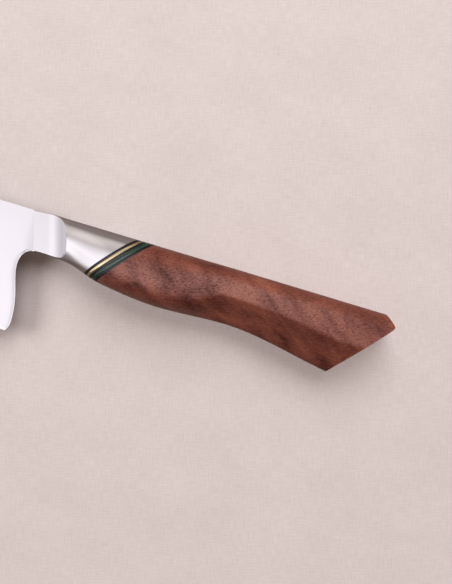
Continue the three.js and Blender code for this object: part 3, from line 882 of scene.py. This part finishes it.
satin_steel = steel(
    "satin_blade_steel",
    colours=("#f5f4f6", "#faf9fb"),
    roughness=(0.2, 0.28),
    scratch=(0.3, 40, 40),
    turn=(0, 0, PLUNGE_SLANT),
)
steel_blade = blade(satin_steel)
bolster(satin_steel)
fibre = vulcanised_fibre()
stack_finishes = {
    "front_liner": (fibre, "black_fibre"),
    "brass_spacer": (brass(), "brass"),
    "middle_liner": (fibre, "black_fibre"),
    "green_spacer": (glass_cloth_laminate(), "green_laminate"),
    "rear_liner": (fibre, "black_fibre"),
}
plates = {}
stack_front = STACK_SETBACK
for plate, thickness in STACK.items():
    stack_rear = stack_front + thickness / math.cos(STACK_SLANT)
    plates[plate] = spacer(plate, stack_front, stack_rear, *stack_finishes[plate])
    stack_front = stack_rear
wood = handle()

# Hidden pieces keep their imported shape
mill_steel = steel(
    "mill_finish_tang_steel",
    colours=("#8d8d8f", "#aeaeb0"),
    roughness=(0.4, 0.6),
    scratch=(20, 0.5, 0.5),
)
for hidden, finish in (("tang", mill_steel), ("tang_epoxy", cured_epoxy())):
    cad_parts[hidden].data.materials.clear()
    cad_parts[hidden].data.materials.append(finish)

# Camera, in the knife's frame: nearly straight above the handle
CAMERA_PLACE = TO_ROW @ Vector((84.3, -24.35, 340))
CAMERA_AIM = TO_ROW @ Vector((66.45, -9.72, 0))
FOCAL_PIXELS = 850
PHOTO_HEIGHT = 584
SENSOR = 36
NEAR_CLIP = 0.01
image_up = Vector((-math.sin(VIEW_TURN), math.cos(VIEW_TURN), 0))
image_right = Vector((math.cos(VIEW_TURN), math.sin(VIEW_TURN), 0))
lens = bpy.data.cameras.new("camera")
lens.sensor_width = SENSOR
lens.lens = FOCAL_PIXELS * SENSOR / PHOTO_HEIGHT
lens.clip_start = NEAR_CLIP
camera = bpy.data.objects.new("camera", lens)
ahead = (CAMERA_AIM - CAMERA_PLACE).normalized()
right = ahead.cross(image_up).normalized()
looking = Matrix((right, right.cross(ahead), -ahead)).transposed().to_4x4()
camera.matrix_world = Matrix.Translation(CAMERA_PLACE) @ looking
bpy.context.scene.collection.objects.link(camera)
bpy.context.scene.camera = camera

# Floor
FLOOR_SIZE = 3.0
bm = bmesh.new()
bmesh.ops.create_grid(bm, x_segments=1, y_segments=1, size=FLOOR_SIZE / 2)
ground = bpy.data.meshes.new("floor")
bm.to_mesh(ground)
bm.free()
ground.materials.append(linen_floor())
floor = bpy.data.objects.new("floor", ground)
bpy.context.scene.collection.objects.link(floor)

# Light, in metres and watts. The metal mirrors none of the four lamps, only the room and what lies in it.
LAMP_AIM = Vector((0.06, 0, 0))
SHEEN_DEPTH = 0.45
straight_up = Vector((0, 0, 1))


def soft_lamp(name, direction, distance, size, strength):
    """A round lamp that faces the knife."""
    lamp = bpy.data.lights.new(name, "AREA")
    lamp.shape = "DISK"
    lamp.size = size
    lamp.energy = strength
    made = bpy.data.objects.new(name, lamp)
    made.location = LAMP_AIM + direction.normalized() * distance
    made.rotation_euler = direction.to_track_quat("Z", "Y").to_euler()
    bpy.context.scene.collection.objects.link(made)
    return made


def light_group(name, pieces):
    """The pieces that a lamp's light linking names."""
    group = bpy.data.collections.new(name)
    for piece in pieces:
        group.objects.link(piece)
    return group


# The key, above the picture, throws the handle's shadow
key_way = image_right * 0.3 + image_up * 0.8 + straight_up
key = soft_lamp("key", key_way, distance=1.4, size=1.3, strength=13)
key.visible_glossy = False

# The overhead lamp lifts the knife alone, so that it throws no second shadow on the floor
overhead = soft_lamp("overhead", image_right * 0.1 + straight_up, distance=1.2, size=0.5, strength=2.3)
overhead.visible_glossy = False
unlifted = light_group("overhead_leaves_out", [floor])
unlifted.collection_objects[0].light_linking.link_state = "EXCLUDE"
overhead.light_linking.receiver_collection = unlifted

# The sheen lamp gives the wood and the dull plates their gloss
sheen_way = image_right * -0.12 + image_up * 0.12 + straight_up
sheen = soft_lamp("sheen", sheen_way, distance=1.2, size=1.3, strength=2.3)
sheen.data.shape = "ELLIPSE"
sheen.data.size_y = SHEEN_DEPTH
glossed = [wood] + [shown for plate, shown in plates.items() if plate != "brass_spacer"]
sheen.light_linking.receiver_collection = light_group("sheen_takers", glossed)

# The window, left of the picture, throws the blade's shadow behind the heel
window_way = image_right * -1 + image_up * 0.3 + straight_up * 1.05
window = soft_lamp("window", window_way, distance=3, size=1.7, strength=46)
window.light_linking.receiver_collection = light_group("window_takers", [floor])
window.light_linking.blocker_collection = light_group("window_blockers", [steel_blade])

# The room: glossy rays see light and dark bands, the camera a pale backdrop, other rays a warm fill
world = bpy.data.worlds.new("room")
bpy.context.scene.world = world
world.use_nodes = True
room = world.node_tree
room.nodes.clear()
towards = add(room, "TexCoord").outputs["Generated"]
rise = add(room, "VectorMath", {0: towards, 1: image_up}, operation="DOT_PRODUCT").outputs["Value"]
across = add(room, "VectorMath", {0: towards, 1: image_right}, operation="DOT_PRODUCT").outputs["Value"]
rise_share = add(room, "MapRange", {"Value": rise, "From Min": -1, "From Max": 1}).outputs[0]
across_share = add(room, "MapRange", {"Value": across, "From Min": -1, "From Max": 1}).outputs[0]
tone = add(room, "ValToRGB", {"Fac": rise_share}, stops=[
    (0.0, "#5f5553"), (0.13, "#62585a"), (0.16, "#6d6364"), (0.23, "#aea6a9"), (0.275, "#fdf7fc"),
    (0.31, "#fffaff"), (0.37, "#fffaff"), (0.43, "#f2ecf2"), (0.46, "#f2ecf2"), (0.51, "#f4eef4"),
    (0.54, "#f3edf3"), (0.6, "#dfd9de"), (0.66, "#c8c0c2"), (0.72, "#b7aeaf"), (0.82, "#cfc6c3"),
    (0.92, "#d8cecb"), (0.97, "#beb4af"), (1.0, "#7a716c"),
]).outputs[0]
side = add(room, "ValToRGB", {"Fac": across_share}, stops=[
    (0.0, 0.55), (0.08, 0.76), (0.2, 0.98), (0.26, 1.0),
    (0.36, 1.0), (0.42, 0.73), (0.7, 0.73), (1.0, 0.46),
]).outputs[0]
seen = add(room, "Mix", {0: 1.0, 6: tone, 7: side}, data_type="RGBA", blend_type="MULTIPLY").outputs[2]
path = add(room, "LightPath").outputs
fill = add(room, "Background", {"Color": linear("#ffe0d0"), "Strength": 0.2}).outputs[0]
view = add(room, "Background", {"Color": seen, "Strength": 1.3}).outputs[0]
backdrop = add(room, "Background", {"Color": linear("#dfd6d2"), "Strength": 1}).outputs[0]
either = add(room, "MixShader", {0: path["Is Glossy Ray"], 1: fill, 2: view}).outputs[0]
either = add(room, "MixShader", {0: path["Is Camera Ray"], 1: either, 2: backdrop}).outputs[0]
add(room, "OutputWorld", {"Surface": either})

bpy.context.scene.view_settings.view_transform = "Standard"
